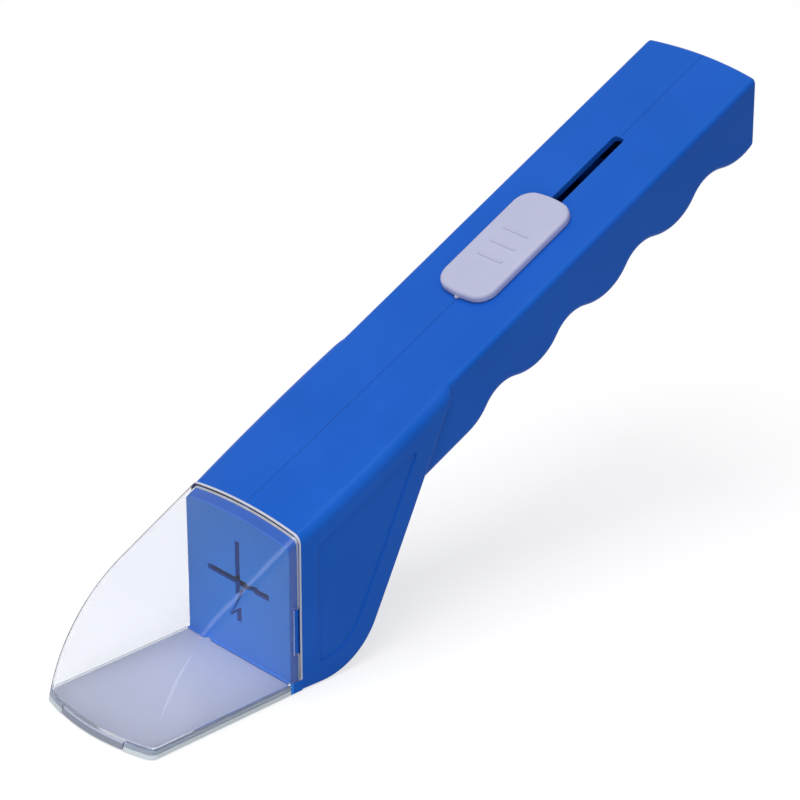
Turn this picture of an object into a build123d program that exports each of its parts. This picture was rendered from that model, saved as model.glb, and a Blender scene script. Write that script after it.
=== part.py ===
from build123d import *
from functools import cache
from math import asin, atan, atan2, cos, radians, sin, sqrt, tan
import os

# A hand-held insect catcher: a hollow handle in two half shells, a clear chamber with an open
# mouth, and a flexible sheet that a thumb button pushes out of the handle to close the mouth.
# +X points forward to the chamber's nose, +Y to the left, and the mouth lies on Z = 0.
# The origin is the middle of the rim, where the chamber meets the head, on the mouth's plane.

# Head, the wide front of the casing
rim_width = 45.2
rim_height = 50.0
head_width = 47.2
head_plan_length = 64.0
foot_length = 7.1
heel_radius = 22.0
back_slope = 63.5
top_slope = 25.0
crown_rise = 1.9
head_edge_radius = 3.4
back_edge_radius = 0.6
waist_place = 54.0
waist_radius = 13.0
waist_turn = 60.0

# Side recess of the head, a shallow bare panel
recess_depth = 0.4
recess_front_margin = 6.2
recess_top_margin = 8.6
recess_back_margin = 6.6
recess_corner = 2.0
recess_tip_radius = 1.2

# Handle
handle_reach = 180.2
handle_width = 42.8
grip_depth = 22.0
scallop_depth = 4.4
scallop_count = 4
front_bulge_place = 61.6
rear_bulge_margin = 5.1
bulge_share = 0.55797
rear_bow = 1.3
handle_dip = 1.4
handle_crown_rise = 0.3
handle_edge_radius = 1.6
grip_edge_radius = 2.0
rear_edge_radius = 0.9

# Mouldings
casing_wall = 1.9
rib_thickness = 1.1
seam_gap = 0.1
running_gap = 0.1
seat_gap = 0.05
overrun = 5.0

# Chamber
mouth_length = 58.0
chamber_slope = 26.1
chamber_wall = 1.4
nose_radius = 52.0
nose_bow = 3.9
chamber_edge_radius = 2.6
rail_width = 2.9
notch_width = 26.4

# Closing sheet, one flexible strip that is wide at the mouth and narrow in the handle
sheet_thickness = 0.5
sheet_level = 2.1
sheet_width = 42.8
tail_width = 24.0
front_length = 12.0
lip_thickness = 1.2
lip_setback = 0.15
lip_low = 0.2
lip_width = 25.4
guide_gap = 0.15
ledge_gap = 0.1
bend_lead = 2.0
sheet_bend_radius = 20.0
tail_depth = 6.5
mouth_margin = 8.0

# Bulkhead between head and chamber
bulkhead_face = 3.5
bulkhead_wall = 1.8
bulkhead_depth = 5.6
flange_place = 3.0
flange_thickness = 1.5
flange_height = 0.8
sill_length = 4.2
sill_height = 3.3
tongue_length = 4.0
tongue_width = 20.0
vent_size = 25.2
vent_bar = 2.0
vent_height = 26.2
catch_front = 2.6
catch_rear = 0.8
catch_low = 12.0
catch_high = 26.2
catch_height = 0.9

# Thumb button and its carriage
button_length = 42.0
button_width = 20.6
button_share = 0.4426
button_height = 2.2
button_gap = 0.25
button_corner = 6.0
button_end_bow = 1.6
button_edge_radius = 1.0
grip_line_count = 3
grip_line_setback = 14.5
grip_line_margin = 5.5
grip_line_pitch = 5.6
grip_line_width = 0.8
grip_line_height = 0.12
nib_size = 1.4
nib_thickness = 0.7
slot_width = 4.1
slot_corner = 1.0
slot_spare = 1.6
stem_length = 11.6
stem_width = 3.7
stem_setback = 8.0
carriage_length = 26.0
carriage_width = 34.0
carriage_thickness = 2.4
carriage_corner = 2.0
socket_depth = 1.2
peg_radius = 1.3
peg_spacing = 13.0
peg_inset = 4.0
peg_length = 1.1
tail_seat = 9.0

# Tracks inside the casing
shelf_inner = 9.0
ledge_inner = 10.5
rail_rib_place = 13.0
rail_lead = 3.0

# Fasteners
screw_radius = 1.3
screw_length = 16.0
screw_head_radius = 2.6
screw_head_height = 1.8
screw_head_place = 10.0
cross_width = 0.6
cross_length = 2.6
cross_depth = 0.9
boss_wall = 1.8
head_clearance = 0.3
seat_thickness = 2.5
pilot_allowance = 1.0
carriage_screw_radius = 1.0
carriage_screw_length = 5.5
carriage_screw_head_radius = 2.2
carriage_screw_head_height = 1.3
low_screw_setback = 12.5
low_screw_height = 13.0
high_screw_setback = 30.0
high_screw_height = 51.0
screw_depth = 13.6
locator_radius = 1.6
locator_length = 3.0
locator_setback = 22.0
locator_height = 33.0


# Values worked out from the sizes above
slope = radians(top_slope)
back = radians(back_slope)
nose_slope = radians(chamber_slope)
rim_half = rim_width / 2
head_half = head_width / 2
handle_half = handle_width / 2
sheet_top = sheet_level + sheet_thickness
sheet_middle = sheet_level + sheet_thickness / 2
head_bow_rise = head_half - rim_half
head_bow_radius = (head_plan_length / 2) ** 2 / (2 * head_bow_rise) + head_bow_rise / 2
rear_bulge_place = (handle_reach - grip_depth * sin(slope)) / cos(slope) - rear_bulge_margin
scallop_pitch = (rear_bulge_place - front_bulge_place) / scallop_count
scallop_turn = 2 * atan(2 * scallop_depth / scallop_pitch)
bulge_radius = bulge_share * scallop_pitch
rear_bow_radius = handle_half**2 / (2 * rear_bow) + rear_bow / 2
heel_centre = (-foot_length, heel_radius)
travel = mouth_length - mouth_margin
button_front_place = button_share * handle_reach / cos(slope)
stem_front_place = button_front_place + stem_setback
stem_rear_place = stem_front_place + stem_length
slot_front_place = stem_front_place - running_gap
slot_rear_place = stem_rear_place + travel + slot_spare
carriage_front_place = stem_front_place + stem_length / 2 - carriage_length / 2
carriage_rear_place = carriage_front_place + carriage_length
carriage_low = tail_depth + sheet_thickness / 2
carriage_top = carriage_low - carriage_thickness
slide_way = (cos(slope), 0, -sin(slope))
locator_place = (-locator_setback, locator_height)
half_wall = casing_wall / 2
bow_radius = rim_half**2 / (2 * nose_bow) + nose_bow / 2
sheet_half = sheet_width / 2
tail_half = tail_width / 2
slot_low = sheet_level - ledge_gap
plug_low = sheet_top + guide_gap
floor_front = mouth_length - front_length
floor_rear = floor_front - travel
high = 2 * rim_height
wide = head_half + overrun


def on_handle(place, depth):
    """X and Z of a point that lies place behind the rim along the top and depth below it."""
    return (
        -place * cos(slope) - depth * sin(slope),
        rim_height + place * sin(slope) - depth * cos(slope),
    )


def top_height(x, depth):
    """Height of the line that runs depth below the casing's top, above the point x."""
    return rim_height - x * tan(slope) - depth / cos(slope)


def back_point(inset, distance):
    """A point on the head's back, drawn in by inset, at a distance up from the heel's arc."""
    radius = heel_radius - inset
    return (
        heel_centre[0] - radius * sin(back) - distance * cos(back),
        heel_centre[1] - radius * cos(back) + distance * sin(back),
    )


def back_to_depth(inset, depth):
    """Distance up the head's back, drawn in by inset, to the line depth below the top."""
    x, z = back_point(inset, 0)
    return (top_height(x, depth) - z) / (sin(back) - cos(back) * tan(slope))


def heel_point(inset, turn):
    """A point on the heel's arc, drawn in by inset, turned from the foot."""
    radius = heel_radius - inset
    return (heel_centre[0] - radius * sin(turn), heel_centre[1] - radius * cos(turn))


def upright(points_face, half_width):
    """A side outline, drawn on X and Z, given a thickness of half_width on both sides of Y = 0."""
    return extrude(points_face, amount=half_width, both=True)


def side(points):
    """Points of X and Z as points of the plane Y = 0."""
    return [(x, 0, z) for x, z in points]


def handle_plane(place, depth):
    """A plane on the casing's top, x forward along the slope and z out of the top."""
    x, z = on_handle(place, depth)
    return Plane(origin=(x, 0, z), x_dir=slide_way, z_dir=(sin(slope), 0, cos(slope)))


def handle_block(place_front, place_rear, depth_top, depth_low, y_low, y_high):
    """A block in line with the handle, between two places, two depths and two widths."""
    block = Box(
        place_rear - place_front,
        y_high - y_low,
        depth_low - depth_top,
        align=(Align.MAX, Align.MIN, Align.MAX),
    )
    return handle_plane(place_front, depth_top) * Pos(0, y_low, 0) * block


def top_section(place, inset):
    """A cut across everything below the top, whose crown fades between rim and button."""
    fade = (1 - place / button_front_place) ** 2
    crest = -handle_dip * (1 - fade) - inset
    rise = handle_crown_rise + (crown_rise - handle_crown_rise) * fade
    radius = rim_half**2 / (2 * rise) + rise / 2 - inset
    half = head_width
    shoulder = crest - radius + sqrt(radius**2 - half**2)
    base = -2 * rim_height - handle_reach
    lines = [
        ThreePointArc((-half, shoulder), (0, crest), (half, shoulder)),
        Line((half, shoulder), (half, base)),
        Line((half, base), (-half, base)),
        Line((-half, base), (-half, shoulder)),
    ]
    x, z = on_handle(place, 0)
    return Plane(origin=(x, 0, z), x_dir=(0, 1, 0), z_dir=slide_way) * make_face(Wire(lines))


@cache
def below_top(inset):
    """Everything below the crowned top surface, drawn in by inset."""
    rim = top_section(0, inset)
    grip = top_section(button_front_place, inset)
    fading = loft([rim, top_section(button_front_place / 2, inset), grip])
    return extrude(rim, amount=handle_reach) + fading + extrude(grip, amount=-2 * handle_reach)


def bow_point(x, inset):
    """A point on the head's side seen from above, drawn in by inset."""
    along = x + head_plan_length / 2
    return (x, head_half - inset - head_bow_radius + sqrt(head_bow_radius**2 - along**2))


def head_plan(inset):
    """The head seen from above, drawn in by inset: two side bows that turn in at the waist."""
    lean = asin((waist_place - head_plan_length / 2) / head_bow_radius)
    radius = waist_radius - inset
    x, y = bow_point(-waist_place, inset)
    half_turn = radians(waist_turn) / 2
    tail = [
        (x + radius * (sin(lean) - sin(turn)), y - radius * (cos(lean) - cos(turn)))
        for turn in (lean + half_turn, lean + 2 * half_turn)
    ]
    front = bow_point(head_plan_length / 2, inset)
    crest = bow_point(-head_plan_length / 2, inset)
    lines = []
    for way in (1, -1):
        points = [(px, way * py) for px, py in (front, crest, (x, y), *tail)]
        lines.append(ThreePointArc(*points[:3]))
        lines.append(ThreePointArc(*points[2:]))
    lines.append(Line((front[0], -front[1]), front))
    lines.append(Line(tail[1], (tail[1][0], -tail[1][1])))
    return extrude(make_face(Wire(lines)), amount=2 * handle_reach, both=True)


def head_solid(inset, front):
    """The head's body, drawn in by inset, with its open front at X = front."""
    rise = back_to_depth(inset, 0)
    corner = back_point(inset, rise)
    foot = (-foot_length, inset)
    start = (front, inset)
    crest = (front, top_height(front, 0))
    lines = [
        Line(*side([start, crest])),
        Line(*side([crest, corner])),
        Line(*side([corner, back_point(inset, 0)])),
        ThreePointArc(*side([back_point(inset, 0), heel_point(inset, back / 2), foot])),
        Line(*side([foot, start])),
    ]
    return upright(make_face(Wire(lines)), head_width) & head_plan(inset) & below_top(inset)


def rear_drum(inset):
    """An upright drum whose side bows the handle's rear end, drawn in by inset."""
    drum = Cylinder(rear_bow_radius - inset, 2 * handle_reach)
    return Pos(rear_bow_radius - handle_reach, 0, 0) * drum


def handle_bar(inset):
    """The handle's body, drawn in by inset, which reaches forward into the head."""
    depth = grip_depth - inset
    bulge = bulge_radius - inset
    drop = bulge * (1 - cos(scallop_turn))
    reach = bulge * sin(scallop_turn)
    half_drop = bulge * (1 - cos(scallop_turn / 2))
    half_reach = bulge * sin(scallop_turn / 2)
    bulges = [front_bulge_place + n * scallop_pitch for n in range(scallop_count + 1)]
    rear = -handle_reach + inset
    begin = on_handle(foot_length + heel_radius, depth)
    first = on_handle(bulges[0], depth)
    lines = [Line(*side([begin, first]))]
    for n in range(scallop_count):
        leave = on_handle(bulges[n] + reach, depth - drop)
        middle = on_handle((bulges[n] + bulges[n + 1]) / 2, depth - scallop_depth)
        arrive = on_handle(bulges[n + 1] - reach, depth - drop)
        top = on_handle(bulges[n + 1], depth)
        out_point = on_handle(bulges[n] + half_reach, depth - half_drop)
        in_point = on_handle(bulges[n + 1] - half_reach, depth - half_drop)
        lines.append(ThreePointArc(*side([on_handle(bulges[n], depth), out_point, leave])))
        lines.append(ThreePointArc(*side([leave, middle, arrive])))
        lines.append(ThreePointArc(*side([arrive, in_point, top])))
    last = on_handle(bulges[-1], depth)
    cx, cz = on_handle(bulges[-1], depth - bulge)
    curl = [(x, cz - sqrt(bulge**2 - (x - cx) ** 2)) for x in ((last[0] + rear) / 2, rear)]
    low_corner = curl[1]
    high_corner = (rear, top_height(rear, 0))
    front_top = on_handle(waist_place + 2 * overrun, 0)
    lines.append(ThreePointArc(*side([last, *curl])))
    lines.append(Line(*side([low_corner, high_corner])))
    lines.append(Line(*side([high_corner, front_top])))
    lines.append(Line(*side([front_top, begin])))
    return upright(make_face(Wire(lines)), handle_half - inset) & below_top(inset)


def handle_solid(inset):
    """The handle's body, drawn in by inset, with its rear end bowed."""
    return handle_bar(inset) & rear_drum(inset)


def edges_where(solid, wanted):
    """The edges of a solid for which the test holds at their middle."""
    return [edge for edge in solid.edges() if wanted(edge.position_at(0.5))]


def block(x_low, x_high, y_low, y_high, z_low, z_high):
    """A box between two values on each axis."""
    box = Box(x_high - x_low, y_high - y_low, z_high - z_low, align=(Align.MIN,) * 3)
    return Pos(x_low, y_low, z_low) * box


def bar(point, radius, y_low, y_high):
    """A round bar along Y through a point of X and Z, between two values of Y."""
    rod = Cylinder(radius, y_high - y_low, align=(Align.CENTER, Align.CENTER, Align.MIN))
    return Pos(point[0], y_low, point[1]) * Rot(-90, 0, 0) * rod


def both_sides(solid):
    """The solid and its mirror image on the other side of Y = 0."""
    return solid + mirror(solid, Plane.XZ)


def nose_centre():
    """Centre of the nose's arc, which leaves the sloping top smoothly and ends at the mouth."""
    x = -nose_radius * sin(nose_slope) - mouth_length
    z = rim_height - nose_radius * cos(nose_slope)
    along = x * cos(nose_slope) - z * sin(nose_slope)
    run = -along - sqrt(along**2 - x**2 - z**2 + nose_radius**2)
    return (x + mouth_length + run * cos(nose_slope), z - run * sin(nose_slope))


def chamber_form(inset, corner):
    """The chamber's body, drawn in by inset, with its rear and mouth run past their planes."""
    cx, cz = nose_centre()
    radius = nose_radius - inset
    start = (cx + radius * sin(nose_slope), cz + radius * cos(nose_slope))
    end = (cx + sqrt(radius**2 - (overrun + cz) ** 2), -overrun)
    turn = (atan2(start[1] - cz, start[0] - cx) + atan2(end[1] - cz, end[0] - cx)) / 2
    middle = (cx + radius * cos(turn), cz + radius * sin(turn))
    top = (-overrun, start[1] + (start[0] + overrun) * tan(nose_slope))
    base = (-overrun, -overrun)
    lines = [
        Line(*side([base, top])),
        Line(*side([top, start])),
        ThreePointArc(*side([start, middle, end])),
        Line(*side([end, base])),
    ]
    half = rim_half - inset
    bow = bow_radius - sqrt(bow_radius**2 - half**2)
    profile = Pos(-bow, -half, 0) * make_face(Wire(lines))
    path = ThreePointArc((-bow, -half, 0), (0, 0, 0), (-bow, half, 0))
    form = Part() + Solid.sweep(profile.faces()[0], path, mode=Vector(0, 1, 0))
    if corner == 0:
        return form
    long_edges = edges_where(
        form,
        lambda p: abs(abs(p.Y) - half) < seat_gap and p.Z > 0 and p.X > -overrun,
    )
    return fillet(long_edges, corner)


def bend_points(offset):
    """Start, middle and end of the strip's bend from the head's back into the handle."""
    radius = sheet_bend_radius + offset - sheet_middle
    reach = back_to_depth(offset, tail_depth - offset + sheet_middle)
    cut = radius * tan((back - slope) / 2)
    corner = back_point(offset, reach)
    start = back_point(offset, reach - cut)
    turn = (back + slope) / 2
    centre = (start[0] - radius * sin(back), start[1] - radius * cos(back))
    middle = (centre[0] + radius * sin(turn), centre[1] + radius * cos(turn))
    end = (corner[0] - cut * cos(slope), corner[1] + cut * sin(slope))
    return start, middle, end


def bend_place():
    """How far behind the rim the strip's bend ends."""
    x = bend_points(sheet_middle)[2][0]
    return (-x - tail_depth * sin(slope)) / cos(slope)


def way_lines(offset, front, rear):
    """The strip's way, drawn in from the head by offset: foot, heel, back, bend and handle."""
    heel_end = back_point(offset, 0)
    bend = bend_points(offset)
    depth = tail_depth - offset + sheet_middle
    return [
        Line(*side([(front, offset), (-foot_length, offset)])),
        ThreePointArc(*side([(-foot_length, offset), heel_point(offset, back / 2), heel_end])),
        Line(*side([heel_end, bend[0]])),
        ThreePointArc(*side(bend)),
        Line(*side([bend[2], on_handle(rear, depth)])),
    ]


def ribbon(low, top, front, rear, y_low, y_high):
    """A strip that follows the sheet's way between two offsets and two values of Y."""
    lines = way_lines(low, front, rear) + way_lines(top, front, rear)
    lines.append(Line(*side([(front, low), (front, top)])))
    rear_low = on_handle(rear, tail_depth - low + sheet_middle)
    rear_top = on_handle(rear, tail_depth - top + sheet_middle)
    lines.append(Line(*side([rear_low, rear_top])))
    outline = make_face(Wire(lines))
    return Pos(0, y_low, 0) * extrude(outline, amount=y_high - y_low, dir=(0, 1, 0))


def outer_head():
    """The head outside, with its top and back edges rounded."""
    head = head_solid(0, 0)
    peak = back_point(0, back_to_depth(0, 0))[0]
    tops = edges_where(
        head,
        lambda p: abs(p.Y) > rim_half - crown_rise
        and p.Z > top_height(p.X, 2 * crown_rise)
        and peak + running_gap < p.X < -running_gap,
    )
    head = fillet(tops, head_edge_radius)
    backs = edges_where(
        head,
        lambda p: abs(p.Y) > rim_half - crown_rise
        and p.Z < top_height(p.X, head_edge_radius + crown_rise)
        and p.X < -foot_length - running_gap
        and abs(p.X + waist_place) > running_gap,
    )
    return fillet(backs, back_edge_radius)


def outer_handle():
    """The handle outside, with its long edges and its rear end rounded."""
    handle = handle_bar(0)
    sides = edges_where(
        handle,
        lambda p: abs(p.Y) > handle_half - running_gap
        and -handle_reach + running_gap < p.X < -foot_length - heel_radius - overrun,
    )
    tops = [e for e in sides if (e @ 0.5).Z > top_height((e @ 0.5).X, 2 * crown_rise)]
    handle = fillet(tops, handle_edge_radius)
    grips = edges_where(
        handle,
        lambda p: abs(p.Y) > handle_half - running_gap
        and p.Z < top_height(p.X, grip_depth - 2 * scallop_depth),
    )
    handle = fillet(grips, grip_edge_radius) & rear_drum(0)
    rear = handle.faces().sort_by(Axis.X)[0]
    return fillet(rear.edges(), rear_edge_radius)


def side_recess():
    """The shallow panel sunk into both sides of the head."""
    front = -recess_front_margin
    inset = recess_back_margin
    radius = heel_radius - inset
    low = (front, heel_radius - sqrt(radius**2 - (front + foot_length) ** 2))
    crest = (front, top_height(front, recess_top_margin))
    peak = back_point(inset, back_to_depth(inset, recess_top_margin))
    heel_end = back_point(inset, 0)
    lines = [
        Line(*side([low, crest])),
        Line(*side([crest, peak])),
        Line(*side([peak, heel_end])),
        ThreePointArc(*side([heel_end, heel_point(inset, back / 2), low])),
    ]
    panel = upright(make_face(Wire(lines)), wide)
    fronts = edges_where(
        panel,
        lambda p: abs(p.Y) < overrun and p.X > front - running_gap and p.Z > heel_radius,
    )
    panel = fillet(fronts, recess_corner)
    tips = edges_where(panel, lambda p: abs(p.Y) < overrun and p.X < peak[0] + running_gap)
    panel = fillet(tips, recess_tip_radius)
    return panel - head_solid(recess_depth, overrun)


def track_guides(middle):
    """Shelves, ledges and rails on the inside of both sides, cut off within the walls."""
    shelf_rear = bend_place() + bend_lead
    ledge_rear = carriage_rear_place + travel + rail_lead
    ledge_top = sheet_level - ledge_gap
    shelf = ribbon(
        plug_low,
        plug_low + rib_thickness,
        -bulkhead_depth - running_gap,
        shelf_rear,
        shelf_inner,
        wide,
    )
    ledge = ribbon(
        ledge_top - rib_thickness, ledge_top, floor_rear, ledge_rear, ledge_inner, wide
    )
    rail = handle_block(
        carriage_front_place - rail_lead,
        ledge_rear,
        casing_wall,
        carriage_top - ledge_gap,
        rail_rib_place - rib_thickness / 2,
        rail_rib_place + rib_thickness / 2,
    )
    return both_sides((shelf & middle) + (ledge & handle_solid(half_wall)) + rail)


def stem_slot(front_place, rear_place, width, depth_top, depth_low):
    """A bar with rounded corners across the casing's top, between two places and depths."""
    outline = RectangleRounded(rear_place - front_place, width, slot_corner)
    base = handle_plane((front_place + rear_place) / 2, depth_low)
    return extrude(base * outline, amount=depth_low - depth_top)


def flange_ring(inset, gap):
    """The rim that keys the bulkhead into the casing, drawn in by inset and grown by gap."""
    rear = -flange_place - flange_thickness - gap
    return head_solid(inset, 0) & block(
        rear, -flange_place + gap, -wide, wide, plug_low - gap, high
    )


def casing_body(middle):
    """Both shells in one, before the seam parts them."""
    hollow = head_solid(casing_wall, overrun) + handle_solid(casing_wall)
    body = outer_head() + outer_handle() - hollow
    body += track_guides(middle)
    groove_half = sheet_half + guide_gap
    groove_rear = bend_place() + bend_lead
    groove = ribbon(slot_low, plug_low, overrun, groove_rear, -groove_half, groove_half)
    body -= groove & head_solid(half_wall, overrun)
    body -= side_recess()
    body -= stem_slot(slot_front_place, slot_rear_place, slot_width, -overrun, overrun)
    body -= flange_ring(casing_wall - flange_height, seat_gap)
    notch_half = tongue_width / 2 + running_gap
    notch_rear = -tongue_length - running_gap
    return body - block(notch_rear, overrun, -notch_half, notch_half, -overrun, casing_wall)


def screw_points():
    """X and Z of the four screws that join the shells."""
    points = [(-low_screw_setback, low_screw_height), (-high_screw_setback, high_screw_height)]
    for bulge in (1, scallop_count - 1):
        points.append(on_handle(front_bulge_place + bulge * scallop_pitch, screw_depth))
    return points


def left_shell(body, middle):
    """The left half with blind screw bosses and the locator pin."""
    shell = body & block(-high - handle_reach, overrun, seam_gap / 2, wide, -overrun, 2 * high)
    pilot_end = screw_length - screw_head_place + pilot_allowance
    for point in screw_points():
        shell += bar(point, screw_radius + boss_wall, seam_gap / 2, wide) & middle
    shell += bar(locator_place, locator_radius + boss_wall, seam_gap / 2, wide) & middle
    shell += bar(locator_place, locator_radius, -locator_length, seam_gap)
    for point in screw_points():
        shell -= bar(point, screw_radius + seat_gap, 0, pilot_end)
    return shell


def right_shell(body, middle):
    """The right half with the screw seats and the locator's socket."""
    shell = body & block(-high - handle_reach, overrun, -wide, -seam_gap / 2, -overrun, 2 * high)
    head_bore = screw_head_radius + head_clearance
    seat = -screw_head_place
    for point in screw_points():
        shell += bar(point, head_bore + boss_wall, -wide, seat + seat_thickness) & middle
        shell += bar(point, screw_radius + boss_wall, seat, -seam_gap / 2)
    shell += bar(locator_place, locator_radius + boss_wall, -wide, -seam_gap / 2) & middle
    shell -= bar(locator_place, locator_radius + seat_gap, -locator_length - pilot_allowance, 0)
    for point in screw_points():
        shell -= bar(point, head_bore, -wide, seat)
        shell -= bar(point, screw_radius + seat_gap, seat - running_gap, 0)
    return shell


def bulkhead():
    """The plug between head and chamber, with its vent, sill, tongue, rim and catches."""
    chamber_inset = chamber_wall + running_gap
    rear = head_solid(casing_wall + running_gap, 0)
    rear &= block(-bulkhead_depth, 0, -wide, wide, plug_low, high)
    front = chamber_form(chamber_inset, chamber_edge_radius - chamber_inset)
    front &= block(0, bulkhead_face, -wide, wide, 0, high)
    sill = chamber_form(0, 0) & block(0, sill_length, -wide, wide, 0, sill_height)
    tongue_half = tongue_width / 2
    tongue = block(-tongue_length, sill_length, -tongue_half, tongue_half, 0, slot_low)
    plug = rear + front + sill + tongue
    plug += flange_ring(casing_wall - flange_height + seat_gap, 0)
    hollow_front = bulkhead_face - bulkhead_wall
    hollow = head_solid(casing_wall + running_gap + bulkhead_wall, hollow_front)
    plug -= hollow & block(-high, hollow_front, -wide, wide, plug_low + bulkhead_wall, high)
    slot_half = sheet_half + guide_gap
    plug -= block(-high, sill_length + overrun, -slot_half, slot_half, slot_low, plug_low)
    reach = vent_size / 2
    half_bar = vent_bar / 2
    ahead = bulkhead_face + overrun
    plug -= block(0, ahead, -reach, reach, vent_height - half_bar, vent_height + half_bar)
    plug -= block(0, ahead, -half_bar, half_bar, vent_height - reach, vent_height + reach)
    cheek = rim_half - chamber_inset
    catch = block(
        catch_rear, catch_front, cheek - half_wall, cheek + catch_height, catch_low, catch_high
    )
    return plug + both_sides(catch)


def viewing_chamber():
    """The clear chamber, open at its rear and mouth, with grooved rails for the sheet."""
    outside = chamber_form(0, chamber_edge_radius) & block(0, high, -wide, wide, 0, high)
    shell = outside - chamber_form(chamber_wall, chamber_edge_radius - chamber_wall)
    sill_room = sill_length + running_gap
    rails = outside & block(sill_room, high, -wide, wide, -overrun, slot_low)
    rails -= chamber_form(rail_width, 0)
    groove = chamber_form(rim_half - sheet_half - guide_gap, 0)
    groove &= block(-high, high, -wide, wide, slot_low, plug_low)
    chamber = shell + rails - groove
    chamber -= block(-high, sill_room, -wide, wide, -overrun, sill_height + running_gap)
    notch_half = notch_width / 2
    chamber -= block(mouth_length / 2, high, -notch_half, notch_half, -overrun, plug_low)
    window = block(
        catch_rear - running_gap,
        catch_front + running_gap,
        rim_half - rail_width,
        wide,
        catch_low - running_gap,
        catch_high + running_gap,
    )
    return chamber - both_sides(window)


def closing_sheet_front():
    """The sheet's stiff front end with its lip, which stands in the chamber's notch."""
    lip_half = lip_width / 2
    lip_front = chamber_form(lip_setback, 0)
    sheet = chamber_form(rim_half - sheet_half, 0)
    sheet += lip_front & block(-high, high, -lip_half, lip_half, -high, high)
    sheet &= block(floor_front, high, -wide, wide, sheet_level, sheet_top)
    lip = lip_front - chamber_form(lip_setback + lip_thickness, 0)
    lip &= block(floor_front, high, -lip_half, lip_half, lip_low, sheet_top)
    return sheet + lip


def closing_sheet_floor():
    """The sheet's flat middle, as long as its travel."""
    return block(floor_rear, floor_front, -sheet_half, sheet_half, sheet_level, sheet_top)


def closing_sheet_bend():
    """The narrow part of the sheet that turns round the heel and into the handle."""
    rear = bend_place() + bend_lead
    return ribbon(sheet_level, sheet_top, floor_rear, rear, -tail_half, tail_half)


def peg_pair(radius, depth_top, depth_low):
    """Two pins across the strip's rear end, between two depths."""
    base = handle_plane(carriage_front_place + peg_inset, depth_low)
    pin = Cylinder(radius, depth_low - depth_top, align=(Align.CENTER, Align.CENTER, Align.MIN))
    return base * Pos(0, peg_spacing / 2, 0) * pin + base * Pos(0, -peg_spacing / 2, 0) * pin


def closing_sheet_tail():
    """The straight rear end of the strip, which hangs on the carriage's pegs."""
    top = tail_depth - sheet_thickness / 2
    front = bend_place() + bend_lead
    rear = carriage_front_place + tail_seat
    strip = handle_block(front, rear, top, carriage_low, -tail_half, tail_half)
    return strip - peg_pair(peg_radius + seat_gap, top - overrun, carriage_low + overrun)


def slide_carriage():
    """The plate under the slot, with a socket for the stem and pegs for the strip."""
    half = carriage_width / 2
    top = tail_depth - sheet_thickness / 2
    front = carriage_front_place
    plate = handle_block(front, carriage_rear_place, carriage_top, carriage_low, -half, half)
    posts = edges_where(
        plate,
        lambda p: abs(p.Y) > half - running_gap
        and abs(p.Z - top_height(p.X, (carriage_top + carriage_low) / 2)) < running_gap,
    )
    plate = fillet(posts, carriage_corner)
    room = tail_half + guide_gap
    seat_rear = front + tail_seat + seat_gap
    seat = handle_block(
        front - overrun, seat_rear, top - seat_gap, carriage_low + overrun, -room, room
    )
    plate -= seat
    plate += peg_pair(peg_radius, top - rib_thickness / 2, top + peg_length)
    plate -= stem_slot(
        stem_front_place - seat_gap,
        stem_rear_place + seat_gap,
        stem_width + 2 * seat_gap,
        carriage_top - overrun,
        carriage_top + socket_depth,
    )
    return plate - stem_bore(carriage_screw_radius + seat_gap, 0, carriage_low + overrun)


def stem_bore(radius, depth_top, depth_low):
    """A round bar on the stem's middle line, between two depths."""
    base = handle_plane((stem_front_place + stem_rear_place) / 2, depth_low)
    return base * Cylinder(
        radius, depth_low - depth_top, align=(Align.CENTER, Align.CENTER, Align.MIN)
    )


def thumb_button():
    """The button on the casing's top, with grip lines, a nib and the stem through the slot."""
    half = button_width / 2
    bow = button_end_bow
    rear = -button_length
    lines = [
        ThreePointArc((-bow, -half), (0, 0), (-bow, half)),
        Line((-bow, half), (rear + bow, half)),
        ThreePointArc((rear + bow, half), (rear, 0), (rear + bow, -half)),
        Line((rear + bow, -half), (-bow, -half)),
    ]
    base = handle_plane(button_front_place, overrun)
    blank = extrude(make_face(Wire(lines)), amount=2 * overrun)
    blank = fillet(blank.edges().filter_by(Axis.Z), button_corner)
    top = button_gap + button_height
    button = (base * blank) & below_top(-top)
    rims = edges_where(
        button, lambda p: p.Z > top_height(p.X, handle_dip - top + button_edge_radius)
    )
    button = fillet(rims, button_edge_radius)
    reach = half - grip_line_margin
    for n in range(grip_line_count):
        place = button_front_place + grip_line_setback + n * grip_line_pitch
        line = handle_block(place, place + grip_line_width, -overrun, 0, -reach, reach)
        button += line & below_top(-top - grip_line_height)
    nib = handle_plane(button_front_place, 0) * Rot(0, 0, 45) * Box(nib_size, nib_size, overrun)
    button += nib & below_top(-button_gap - nib_thickness)
    button -= below_top(-button_gap)
    stem_low = carriage_top + socket_depth - seat_gap
    stem_top = handle_dip - top / 2
    button += stem_slot(stem_front_place, stem_rear_place, stem_width, stem_top, stem_low)
    bore_top = carriage_low - carriage_screw_length - pilot_allowance / 2
    return button - stem_bore(carriage_screw_radius + seat_gap, bore_top, stem_low + overrun)


def screw(radius, length, head_radius, head_height):
    """A screw along Z, its head below the origin and its tip above."""
    middle = Align.CENTER
    shank = Cylinder(radius, length, align=(middle, middle, Align.MIN))
    shank = chamfer(shank.edges().sort_by(Axis.Z)[-1], radius / 2)
    head = Cylinder(head_radius, head_height, align=(middle, middle, Align.MAX))
    head = chamfer(head.edges().sort_by(Axis.Z)[0], head_height / 3)
    for turn in (0, 90):
        slit = Box(cross_length, cross_width, cross_depth, align=(middle, middle, Align.MIN))
        head -= Pos(0, 0, -head_height) * Rot(0, 0, turn) * slit
    return head + shank


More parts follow.
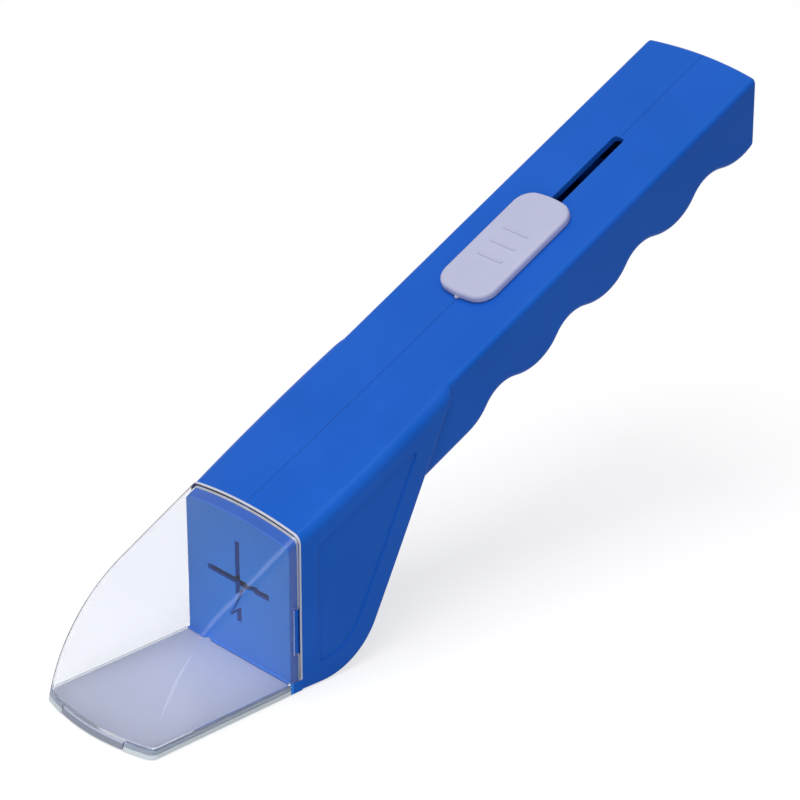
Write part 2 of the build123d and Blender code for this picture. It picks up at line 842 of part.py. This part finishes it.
def shell_screws():
    """The four screws that join the shells, driven from the right."""
    one = screw(screw_radius, screw_length, screw_head_radius, screw_head_height)
    placed = [
        Pos(point[0], -screw_head_place, point[1]) * Rot(-90, 0, 0) * one
        for point in screw_points()
    ]
    return Compound(placed)


def carriage_screw():
    """The screw that holds the carriage on the button's stem."""
    one = screw(
        carriage_screw_radius,
        carriage_screw_length,
        carriage_screw_head_radius,
        carriage_screw_head_height,
    )
    return handle_plane((stem_front_place + stem_rear_place) / 2, carriage_low) * one


# The wall's middle surface, at which inside ribs and bosses end
wall_middle = head_solid(half_wall, 0) + handle_solid(half_wall)
casing = casing_body(wall_middle)

nodes = {
    "left_shell": left_shell(casing, wall_middle),
    "right_shell": right_shell(casing, wall_middle),
    "bulkhead": bulkhead(),
    "viewing_chamber": viewing_chamber(),
    "shell_screws": shell_screws(),
    "closing_sheet_front": closing_sheet_front(),
    "closing_sheet_floor": closing_sheet_floor(),
    "closing_sheet_bend": closing_sheet_bend(),
    "closing_sheet_tail": closing_sheet_tail(),
    "thumb_button": thumb_button(),
    "slide_carriage": slide_carriage(),
    "carriage_screw": carriage_screw(),
}

os.makedirs("parts", exist_ok=True)
for name, solid in nodes.items():
    export_step(solid, os.path.join("parts", name + ".step"))
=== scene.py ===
"""Finish, light and camera of the insect catcher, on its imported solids.

Lengths are in metres, in the part's own frame: +X to the chamber's nose, +Z up from the mouth.
Colours are linear red, green and blue.
"""

import math

import bmesh
import bpy
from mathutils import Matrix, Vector


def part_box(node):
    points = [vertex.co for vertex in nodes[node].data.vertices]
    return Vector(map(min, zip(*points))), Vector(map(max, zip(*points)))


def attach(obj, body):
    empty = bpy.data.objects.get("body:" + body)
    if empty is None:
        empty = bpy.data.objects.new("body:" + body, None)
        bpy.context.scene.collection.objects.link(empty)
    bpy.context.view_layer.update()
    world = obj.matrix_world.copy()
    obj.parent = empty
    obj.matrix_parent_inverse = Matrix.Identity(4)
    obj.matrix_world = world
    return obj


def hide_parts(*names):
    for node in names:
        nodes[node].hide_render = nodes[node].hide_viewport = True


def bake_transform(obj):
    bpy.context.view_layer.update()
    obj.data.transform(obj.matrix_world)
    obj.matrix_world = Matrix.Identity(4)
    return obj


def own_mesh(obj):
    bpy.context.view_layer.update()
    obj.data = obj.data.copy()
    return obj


MM = 0.001

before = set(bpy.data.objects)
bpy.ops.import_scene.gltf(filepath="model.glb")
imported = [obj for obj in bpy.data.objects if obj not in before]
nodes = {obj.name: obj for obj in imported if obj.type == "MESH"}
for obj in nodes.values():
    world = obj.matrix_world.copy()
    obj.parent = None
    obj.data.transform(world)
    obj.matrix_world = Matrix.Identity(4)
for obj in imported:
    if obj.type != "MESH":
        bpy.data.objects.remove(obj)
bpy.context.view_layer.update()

# Camera at the photograph's angle
AZIMUTH = math.radians(136.904)
ELEVATION = math.radians(27.088)
DISTANCE = 1119.4 * MM
AIM = Vector((-53.48, 4.78, 64.61)) * MM
LENS = 179.9
SENSOR_WIDTH = 36.0
NEAREST = 0.05
FARTHEST = 50.0

# Colours, as the two ends of a faint drift where there are two
WHITE = (1.0, 1.0, 1.0)
SHELL_BLUE = ((0.010, 0.110, 0.56), (0.013, 0.121, 0.605))
# Painted light: the bulkhead's blue, lighter than the casing's to make up for the shade it lies
# in under the clear chamber
LIGHTENED_PANEL_BLUE = ((0.036, 0.270, 0.93), (0.044, 0.285, 0.97))
# Painted shade: the bulkhead's blue, darkened where it lies in shade in the vent's slots and
# under the chamber's rim
PANEL_SHADE_BLUE = (0.008, 0.130, 0.65)
BLUE_GLOSS = (0.3, 0.65, 1.0)
BUTTON_GREY = ((0.50, 0.515, 0.71), (0.53, 0.545, 0.745))
CARRIAGE_GREY = ((0.28, 0.29, 0.31), (0.33, 0.34, 0.36))
STEEL_GREY = ((0.46, 0.47, 0.49), (0.62, 0.63, 0.66))
SHEET_LILAC = ((0.61, 0.64, 0.82), (0.65, 0.68, 0.86))
# Painted shade: the sheet's lip, a darker grey where it lies in shade
LIP_SHADE_GREY = (0.30, 0.335, 0.43)
CLEAR_FACE = (0.937, 0.947, 0.972)
CLEAR_EDGE = (0.50, 0.54, 0.60)
CLEAR_GROOVE = (0.60, 0.68, 0.84)
CLEAR_RAIL = (0.86, 0.94, 1.0)
CLEAR_RIM = (0.58, 0.62, 0.72)
FLOOR_GREY = (0.46, 0.46, 0.47)

# Where a finish or a painted shade ends: along X for the panel's painted shade and the rim, along
# Z for the others
PANEL_SHADE_END = 3.2 * MM
RIM_END = 0.55 * MM
RAIL_END = 1.3 * MM
GROOVE_END = 2.55 * MM
LIP_SHADE_END = 1.9 * MM

# How far it takes to change there
CHANGE = 0.2 * MM
SHORT_CHANGE = 0.15 * MM

# The middle of the chamber's rear rim, and how far beyond it the plane of an outer face lies
RIM_MIDDLE = (0.0, 0.0, 25.0 * MM)
OUTWARD = 1.0 * MM

# The middle of a noise's range, where most of its values lie, and that of the colour's flow
NOISE_LOW = 0.3
NOISE_HIGH = 0.7
FLOW_LOW = 0.35
FLOW_HIGH = 0.65

# Moulded edges and gloss
EDGE_RADIUS = 0.3 * MM
BUTTON_EDGE_RADIUS = 0.8 * MM
EDGE_SAMPLES = 6
ROUGHNESS_SPREAD = 0.04

# Clear plastic: from EDGE_ON, a share of the way to edge on, it turns darker
EDGE_ON = 0.6
CLEAR_IOR = 1.15
COAT_WEIGHT = 0.45
COAT_ROUGHNESS = 0.03
COAT_IOR = 1.45
RAIL_FROST = 0.8
GROOVE_FROST = 0.35

# Sheet: slices of its two pieces that change length, and the tail's end inside its box
FLOOR_SLICES = 10
TAIL_SLICES = 24
TAIL_END_INSET = Vector((10.0, 0.0, -4.7)) * MM

# Studio
WORLD_LIGHT = 0.34
FLOOR_GLOW = 0.66
FLOOR_HALF = 6.0
FLOOR_DROP = 0.3 * MM


def place_camera():
    """The scene's camera, at the photograph's angle and distance from the aim."""
    towards = Vector(
        (
            math.sin(AZIMUTH) * math.cos(ELEVATION),
            -math.cos(AZIMUTH) * math.cos(ELEVATION),
            math.sin(ELEVATION),
        )
    )
    data = bpy.data.cameras.new("camera")
    data.lens = LENS
    data.sensor_width = SENSOR_WIDTH
    data.sensor_fit = "HORIZONTAL"
    data.clip_start = NEAREST
    data.clip_end = FARTHEST
    camera = bpy.data.objects.new("camera", data)
    camera.location = AIM + towards * DISTANCE
    camera.rotation_mode = "QUATERNION"
    camera.rotation_quaternion = (-towards).to_track_quat("-Z", "Y")
    bpy.context.collection.objects.link(camera)
    bpy.context.scene.camera = camera


# Node helpers


def new_material(name):
    """A material with one Principled shader, and its node tree."""
    material = bpy.data.materials.new(name)
    material.use_nodes = True
    tree = material.node_tree
    return material, tree, tree.nodes["Principled BSDF"]


def noise(tree, scale, detail=2.0, roughness=0.5, stretch=(1.0, 1.0, 1.0)):
    """Noise in the object's own coordinates; scale is in features per metre."""
    place = tree.nodes.new("ShaderNodeTexCoord")
    mapping = tree.nodes.new("ShaderNodeMapping")
    mapping.inputs["Scale"].default_value = stretch
    texture = tree.nodes.new("ShaderNodeTexNoise")
    texture.inputs["Scale"].default_value = scale
    texture.inputs["Detail"].default_value = detail
    texture.inputs["Roughness"].default_value = roughness
    tree.links.new(place.outputs["Object"], mapping.inputs["Vector"])
    tree.links.new(mapping.outputs["Vector"], texture.inputs["Vector"])
    return texture.outputs["Fac"]


def ramp(tree, value, low, high, colours):
    """Goes from the first colour to the second while a value goes from low to high."""
    node = tree.nodes.new("ShaderNodeValToRGB")
    for stop, position, colour in zip(node.color_ramp.elements, (low, high), colours):
        stop.position = position
        stop.color = (*colour, 1.0)
    tree.links.new(value, node.inputs["Fac"])
    return node.outputs["Color"]


def fade(tree, value, low, high, start=1.0, end=0.0):
    """Goes from start to end while a value goes from low to high."""
    node = tree.nodes.new("ShaderNodeMapRange")
    node.inputs["From Min"].default_value = low
    node.inputs["From Max"].default_value = high
    node.inputs["To Min"].default_value = start
    node.inputs["To Max"].default_value = end
    tree.links.new(value, node.inputs["Value"])
    return node.outputs["Result"]


def spread(tree, value, start, end):
    """Maps the middle of a noise's range to numbers from start to end."""
    return fade(tree, value, NOISE_LOW, NOISE_HIGH, start, end)


def combine(tree, operation, first, last):
    """Two values joined by a product, the larger of both or the like."""
    node = tree.nodes.new("ShaderNodeMath")
    node.operation = operation
    tree.links.new(first, node.inputs[0])
    tree.links.new(last, node.inputs[1])
    return node.outputs[0]


def mix_colour(tree, share, first, last):
    """Mixes a fixed colour into a linked one, by a share."""
    node = tree.nodes.new("ShaderNodeMix")
    node.data_type = "RGBA"
    # Its colour sockets come after those for numbers and vectors
    tree.links.new(share, node.inputs[0])
    tree.links.new(first, node.inputs[6])
    node.inputs[7].default_value = (*last, 1.0)
    return node.outputs[2]


def object_place(tree):
    """The object's coordinates, whole and parted in X, Y and Z, and its normal."""
    place = tree.nodes.new("ShaderNodeTexCoord")
    parts = tree.nodes.new("ShaderNodeSeparateXYZ")
    tree.links.new(place.outputs["Object"], parts.inputs["Vector"])
    return place.outputs["Object"], parts.outputs, place.outputs["Normal"]


def bump(tree, height, strength, distance, normal=None):
    """A normal with bump from a height, on another normal where one is given."""
    node = tree.nodes.new("ShaderNodeBump")
    node.inputs["Strength"].default_value = strength
    node.inputs["Distance"].default_value = distance
    tree.links.new(height, node.inputs["Height"])
    if normal is not None:
        tree.links.new(normal, node.inputs["Normal"])
    return node.outputs["Normal"]


def soft_edges(tree, radius):
    """The normal of edges that are broken by a small radius, as on every moulding."""
    node = tree.nodes.new("ShaderNodeBevel")
    node.samples = EDGE_SAMPLES
    node.inputs["Radius"].default_value = radius
    return node.outputs["Normal"]


# Materials


def moulded_plastic(
    name,
    colours,
    roughness,
    specular,
    grain,
    grain_strength,
    gloss=WHITE,
    shade_colour=None,
    edge_radius=EDGE_RADIUS,
):
    """Opaque moulded plastic: faint flow in the colour, a fine grain and a slight unevenness.

    Where a shade colour is given, the plastic takes it behind a set X just behind the panel's
    face: painted shade on the vent's slot walls and on the plug's sides under the chamber's rim.
    """
    material, tree, shader = new_material(name)
    shader.inputs["Specular IOR Level"].default_value = specular
    shader.inputs["Specular Tint"].default_value = (*gloss, 1.0)
    flow = noise(tree, scale=35.0, detail=3.0)
    colour = ramp(tree, flow, FLOW_LOW, FLOW_HIGH, colours)
    # Painted shade: behind the panel's face the plastic takes the darker shade colour
    if shade_colour is not None:
        along = object_place(tree)[1]["X"]
        behind = fade(tree, along, PANEL_SHADE_END, PANEL_SHADE_END + CHANGE)
        colour = mix_colour(tree, behind, colour, shade_colour)
    tree.links.new(colour, shader.inputs["Base Color"])
    patches = noise(tree, scale=140.0, detail=3.0)
    rough = spread(tree, patches, roughness - ROUGHNESS_SPREAD, roughness + ROUGHNESS_SPREAD)
    tree.links.new(rough, shader.inputs["Roughness"])
    fine = noise(tree, scale=grain, roughness=0.6)
    wave = noise(tree, scale=45.0, detail=1.0)
    normal = soft_edges(tree, edge_radius)
    normal = bump(tree, fine, strength=grain_strength, distance=0.03 * MM, normal=normal)
    normal = bump(tree, wave, strength=0.04, distance=0.6 * MM, normal=normal)
    tree.links.new(normal, shader.inputs["Normal"])
    return material


def shell_plastic(name, colours, shade_colour=None):
    """The casing's blue plastic, whose soft gloss is blue as well."""
    return moulded_plastic(
        name,
        colours,
        roughness=0.38,
        specular=0.14,
        grain=1900.0,
        grain_strength=0.18,
        gloss=BLUE_GLOSS,
        shade_colour=shade_colour,
    )


def outer_side(tree, place, normal):
    """1 on faces that are turned away from the middle of the chamber's rear rim, else 0."""
    from_middle = tree.nodes.new("ShaderNodeVectorMath")
    from_middle.operation = "SUBTRACT"
    from_middle.inputs[1].default_value = RIM_MIDDLE
    tree.links.new(place, from_middle.inputs[0])
    outward = tree.nodes.new("ShaderNodeVectorMath")
    outward.operation = "DOT_PRODUCT"
    tree.links.new(from_middle.outputs["Vector"], outward.inputs[0])
    tree.links.new(normal, outward.inputs[1])
    return fade(tree, outward.outputs["Value"], 0.0, OUTWARD, 0.0, 1.0)


def clear_plastic():
    """Clear moulded plastic, darker where it is seen edge on.

    Its rear rim, which meets the head, is frosted. So are the rails at the mouth, less so round
    the groove that holds the sheet.
    """
    material, tree, shader = new_material("clear_plastic")
    place, parts, facing = object_place(tree)
    near_rear = fade(tree, parts["X"], RIM_END, RIM_END + SHORT_CHANGE)
    rim = combine(tree, "MULTIPLY", near_rear, outer_side(tree, place, facing))
    rail = fade(tree, parts["Z"], RAIL_END, RAIL_END + CHANGE)
    over_rail = fade(tree, parts["Z"], RAIL_END, RAIL_END + CHANGE, 0.0, 1.0)
    under_wall = fade(tree, parts["Z"], GROOVE_END, GROOVE_END + SHORT_CHANGE)
    groove = combine(tree, "MULTIPLY", over_rail, under_wall)

    edge_on = tree.nodes.new("ShaderNodeLayerWeight")
    edge_on.inputs["Blend"].default_value = 0.5
    colour = ramp(tree, edge_on.outputs["Facing"], EDGE_ON, 1.0, (CLEAR_FACE, CLEAR_EDGE))
    colour = mix_colour(tree, groove, colour, CLEAR_GROOVE)
    colour = mix_colour(tree, rail, colour, CLEAR_RAIL)
    colour = mix_colour(tree, rim, colour, CLEAR_RIM)
    tree.links.new(colour, shader.inputs["Base Color"])

    rail_frost = fade(tree, rail, 0.0, 1.0, 0.0, RAIL_FROST)
    groove_frost = fade(tree, groove, 0.0, 1.0, 0.0, GROOVE_FROST)
    frost = combine(tree, "MAXIMUM", rim, rail_frost)
    frost = combine(tree, "MAXIMUM", frost, groove_frost)
    tree.links.new(fade(tree, frost, 0.0, 1.0), shader.inputs["Transmission Weight"])

    shader.inputs["IOR"].default_value = CLEAR_IOR
    shader.inputs["Coat Weight"].default_value = COAT_WEIGHT
    shader.inputs["Coat Roughness"].default_value = COAT_ROUGHNESS
    shader.inputs["Coat IOR"].default_value = COAT_IOR
    smear = noise(tree, scale=60.0)
    tree.links.new(spread(tree, smear, 0.0, 0.03), shader.inputs["Roughness"])
    wave = noise(tree, scale=30.0, detail=1.0)
    normal = bump(tree, wave, strength=0.05, distance=0.4 * MM)
    tree.links.new(normal, shader.inputs["Normal"])
    return material


def steel():
    """Steel with small uneven spots in its tone and gloss."""
    material, tree, shader = new_material("screw_steel")
    shader.inputs["Metallic"].default_value = 1.0
    dull = noise(tree, scale=900.0, detail=3.0)
    colour = ramp(tree, dull, NOISE_LOW, NOISE_HIGH, STEEL_GREY)
    tree.links.new(colour, shader.inputs["Base Color"])
    tree.links.new(spread(tree, dull, 0.25, 0.4), shader.inputs["Roughness"])
    grain = noise(tree, scale=2500.0)
    normal = bump(tree, grain, strength=0.2, distance=0.02 * MM)
    tree.links.new(normal, shader.inputs["Normal"])
    return material


def film():
    """The sheet's frosted lilac-grey film, with faint marks along its travel, and a greyer lip
    that is painted shade.
    """
    material, tree, shader = new_material("film")
    cloud = noise(tree, scale=25.0, detail=3.0)
    colour = ramp(tree, cloud, NOISE_LOW, NOISE_HIGH, SHEET_LILAC)
    # Painted shade: below the sheet's level the lip turns greyer
    height = object_place(tree)[1]["Z"]
    lip = fade(tree, height, LIP_SHADE_END, LIP_SHADE_END + SHORT_CHANGE)
    colour = mix_colour(tree, lip, colour, LIP_SHADE_GREY)
    tree.links.new(colour, shader.inputs["Base Color"])
    marks = noise(tree, scale=900.0, stretch=(0.03, 1.0, 0.2))
    tree.links.new(spread(tree, marks, 0.32, 0.45), shader.inputs["Roughness"])
    grain = noise(tree, scale=3000.0)
    normal = bump(tree, marks, strength=0.05, distance=0.02 * MM)
    normal = bump(tree, grain, strength=0.1, distance=0.02 * MM, normal=normal)
    tree.links.new(normal, shader.inputs["Normal"])
    return material


def finish_nodes(sheet):
    """Gives each node of the part its material."""
    blue = shell_plastic("blue_plastic", SHELL_BLUE)
    # The bulkhead's plastic carries painted light in its lighter blue, and painted shade behind
    # its face
    panel = shell_plastic("bulkhead_plastic", LIGHTENED_PANEL_BLUE, PANEL_SHADE_BLUE)
    button = moulded_plastic(
        "button_plastic",
        BUTTON_GREY,
        roughness=0.42,
        specular=0.35,
        grain=2300.0,
        grain_strength=0.25,
        edge_radius=BUTTON_EDGE_RADIUS,
    )
    carriage = moulded_plastic(
        "carriage_plastic",
        CARRIAGE_GREY,
        roughness=0.5,
        specular=0.4,
        grain=1500.0,
        grain_strength=0.3,
    )
    metal = steel()
    finishes = {
        "left_shell": blue,
        "right_shell": blue,
        "bulkhead": panel,
        "viewing_chamber": clear_plastic(),
        "shell_screws": metal,
        "carriage_screw": metal,
        "thumb_button": button,
        "slide_carriage": carriage,
        "closing_sheet_front": sheet,
        "closing_sheet_floor": sheet,
        "closing_sheet_bend": sheet,
        "closing_sheet_tail": sheet,
    }
    for name, material in finishes.items():
        for material_slot in nodes[name].material_slots:
            material_slot.material = material


# The sheet's pieces that change length


def sliced_copy(node, name, start, end, slices, material):
    """A copy of a CAD node's mesh, sliced between two points so that it can change length."""
    mesh = nodes[node].data.copy()
    shape = bmesh.new()
    shape.from_mesh(mesh)
    way = end - start
    for cut in range(1, slices):
        geometry = shape.verts[:] + shape.edges[:] + shape.faces[:]
        point = start + way * (cut / slices)
        bmesh.ops.bisect_plane(shape, geom=geometry, plane_co=point, plane_no=way.normalized())
    shape.to_mesh(mesh)
    shape.free()
    piece = bpy.data.objects.new(name, mesh)
    bpy.context.collection.objects.link(piece)
    mesh.materials.clear()
    mesh.materials.append(material)
    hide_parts(node)
    return piece


def sheet_floor(material):
    """The sheet's flat middle, which shortens as the door draws it in."""
    low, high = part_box("closing_sheet_floor")
    rear = Vector((low.x, 0, low.z))
    front = Vector((high.x, 0, low.z))
    piece = sliced_copy(
        "closing_sheet_floor", "sheet_floor_film", rear, front, FLOOR_SLICES, material
    )
    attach(piece, "casing")
    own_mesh(piece)


def sheet_tail(material):
    """The sheet's straight tail, which lengthens as the carriage draws its end rearward."""
    low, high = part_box("closing_sheet_tail")
    front = Vector((high.x, 0, low.z))
    rear = Vector((low.x, 0, high.z)) + TAIL_END_INSET
    piece = sliced_copy(
        "closing_sheet_tail", "sheet_tail_film", front, rear, TAIL_SLICES, material
    )
    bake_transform(piece)


# Studio


def sees_white(tree):
    """1 for camera, glossy and transmission rays that no matt surface has scattered, else 0."""
    path = tree.nodes.new("ShaderNodeLightPath")
    seen = combine(tree, "MAXIMUM", path.outputs["Is Camera Ray"], path.outputs["Is Glossy Ray"])
    seen = combine(tree, "MAXIMUM", seen, path.outputs["Is Transmission Ray"])
    direct = tree.nodes.new("ShaderNodeMath")
    direct.operation = "LESS_THAN"
    direct.inputs[1].default_value = 0.5
    tree.links.new(path.outputs["Diffuse Depth"], direct.inputs[0])
    return combine(tree, "MULTIPLY", seen, direct.outputs[0])


def studio_world():
    """A white background that lights the object at a lower level."""
    world = bpy.data.worlds.new("studio")
    bpy.context.scene.world = world
    world.use_nodes = True
    tree = world.node_tree
    background = tree.nodes["Background"]
    background.inputs["Color"].default_value = (*WHITE, 1.0)
    strength = fade(tree, sees_white(tree), 0.0, 1.0, WORLD_LIGHT, 1.0)
    tree.links.new(strength, background.inputs["Strength"])


def studio_floor():
    """A floor that looks white and keeps the object's shadow."""
    mesh = bpy.data.meshes.new("floor")
    square = ((-1, -1), (1, -1), (1, 1), (-1, 1))
    corners = [(x * FLOOR_HALF, y * FLOOR_HALF, 0.0) for x, y in square]
    mesh.from_pydata(corners, [], [(0, 1, 2, 3)])
    floor = bpy.data.objects.new("floor", mesh)
    floor.location = (0.0, 0.0, -FLOOR_DROP)
    bpy.context.collection.objects.link(floor)
    material, tree, shader = new_material("floor")
    shader.inputs["Base Color"].default_value = (*FLOOR_GREY, 1.0)
    shader.inputs["Roughness"].default_value = 0.9
    shader.inputs["Specular IOR Level"].default_value = 0.1
    shader.inputs["Emission Color"].default_value = (*WHITE, 1.0)
    glow = fade(tree, sees_white(tree), 0.0, 1.0, 0.0, FLOOR_GLOW)
    tree.links.new(glow, shader.inputs["Emission Strength"])
    mesh.materials.append(material)


def area_lamp(name, location, target, size, power):
    """A square soft lamp that looks at a point."""
    data = bpy.data.lights.new(name, "AREA")
    data.shape = "SQUARE"
    data.size = size
    data.energy = power
    lamp = bpy.data.objects.new(name, data)
    lamp.location = location
    lamp.rotation_mode = "QUATERNION"
    lamp.rotation_quaternion = (Vector(target) - Vector(location)).to_track_quat("-Z", "Y")
    bpy.context.collection.objects.link(lamp)


place_camera()
sheet = film()
finish_nodes(sheet)
sheet_floor(sheet)
sheet_tail(sheet)
studio_world()
studio_floor()
area_lamp("key", location=(0.25, 0.0, 1.5), target=(-0.05, 0.0, 0.05), size=1.1, power=13.0)
area_lamp("fill", location=(0.25, 0.27, 0.15), target=(-0.02, 0.0, 0.04), size=0.2, power=0.4)
bpy.context.scene.view_settings.view_transform = "Standard"
